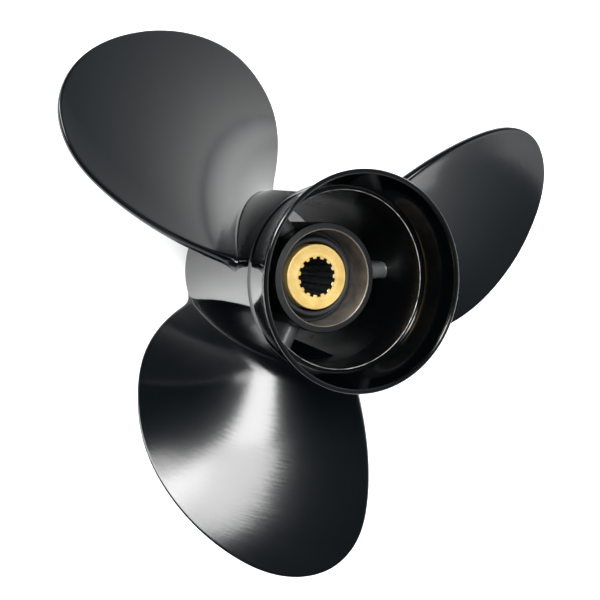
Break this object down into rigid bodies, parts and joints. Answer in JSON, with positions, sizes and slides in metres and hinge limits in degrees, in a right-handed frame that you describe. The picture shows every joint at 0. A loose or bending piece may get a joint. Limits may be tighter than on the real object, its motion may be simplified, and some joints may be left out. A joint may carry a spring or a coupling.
{
  "type": "boat propeller",
  "caption": "Right-hand outboard boat propeller with broad skewed blades, exhaust led out through the hub, flared aft ring and a rubber-cushioned splined drive sleeve.",
  "frame": {"origin": "On the shaft axis at the forward thrust face of the brass sleeve, where its pilot bore opens", "axes": "Z is the shaft axis and +Z points aft, away from the gearcase. X is the reference line of blade_1. The blades follow at 120 and 240 degrees, counter-clockwise seen from aft"},
  "size_m": [0.3046, 0.3226, 0.148],
  "materials": {
    "black_casting": "satin",
    "black_ring": "satin",
    "bush_rubber": "matte",
    "sleeve_brass": "machined"
  },
  "bodies": {
    "drive_hub": {"spline_sleeve": "sleeve_brass", "rubber_bush": "bush_rubber"},
    "propeller": {"exhaust_barrel": "black_casting", "inner_hub": "black_casting", "rib_1": "black_casting", "rib_2": "black_casting", "rib_3": "black_casting", "blade_1": "black_casting", "blade_2": "black_casting", "blade_3": "black_casting", "diffuser_ring": "black_ring"}
  },
  "joints": [
    {"name": "hub_wind_up", "type": "hinge", "parent": "drive_hub", "child": "propeller", "pos_m": [0, 0, 0.04], "axis": [0, 0, 1], "range_deg": [-8, 8], "stiffness_Nm_per_rad": 1000}
  ]
}
